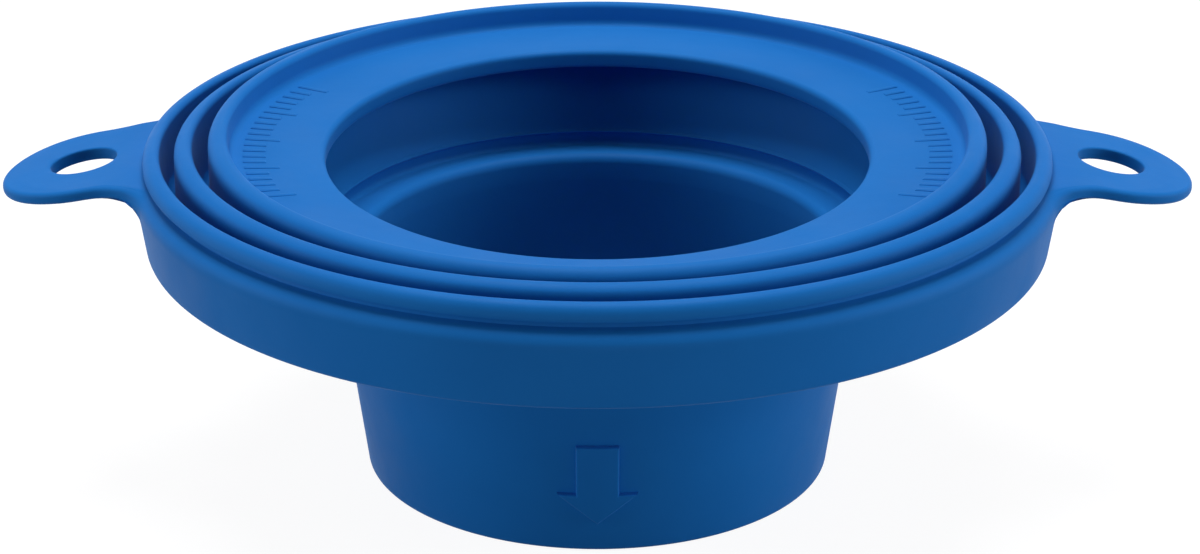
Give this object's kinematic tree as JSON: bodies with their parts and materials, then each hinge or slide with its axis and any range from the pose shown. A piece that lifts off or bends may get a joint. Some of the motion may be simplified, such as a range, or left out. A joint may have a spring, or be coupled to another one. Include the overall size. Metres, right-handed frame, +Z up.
{
  "type": "waxless toilet seal",
  "caption": "Soft rubber seal for between a toilet bowl and the floor flange: dished face with raised lip rings, tapered pipe sleeve below and a holed ear on either side.",
  "frame": {"origin": "on the seal's axis, in the plane of the sleeve's bottom edge", "axes": "+Z up along the sleeve towards the bowl, +X through the right-hand ear's bolt hole, -Y towards the side with the arrow mark"},
  "size_m": [0.1768, 0.1368, 0.0533],
  "materials": {
    "blue_rubber": "matt to satin moulded rubber"
  },
  "bodies": {
    "root": {"seal_moulding": "blue_rubber"}
  },
  "joints": []
}
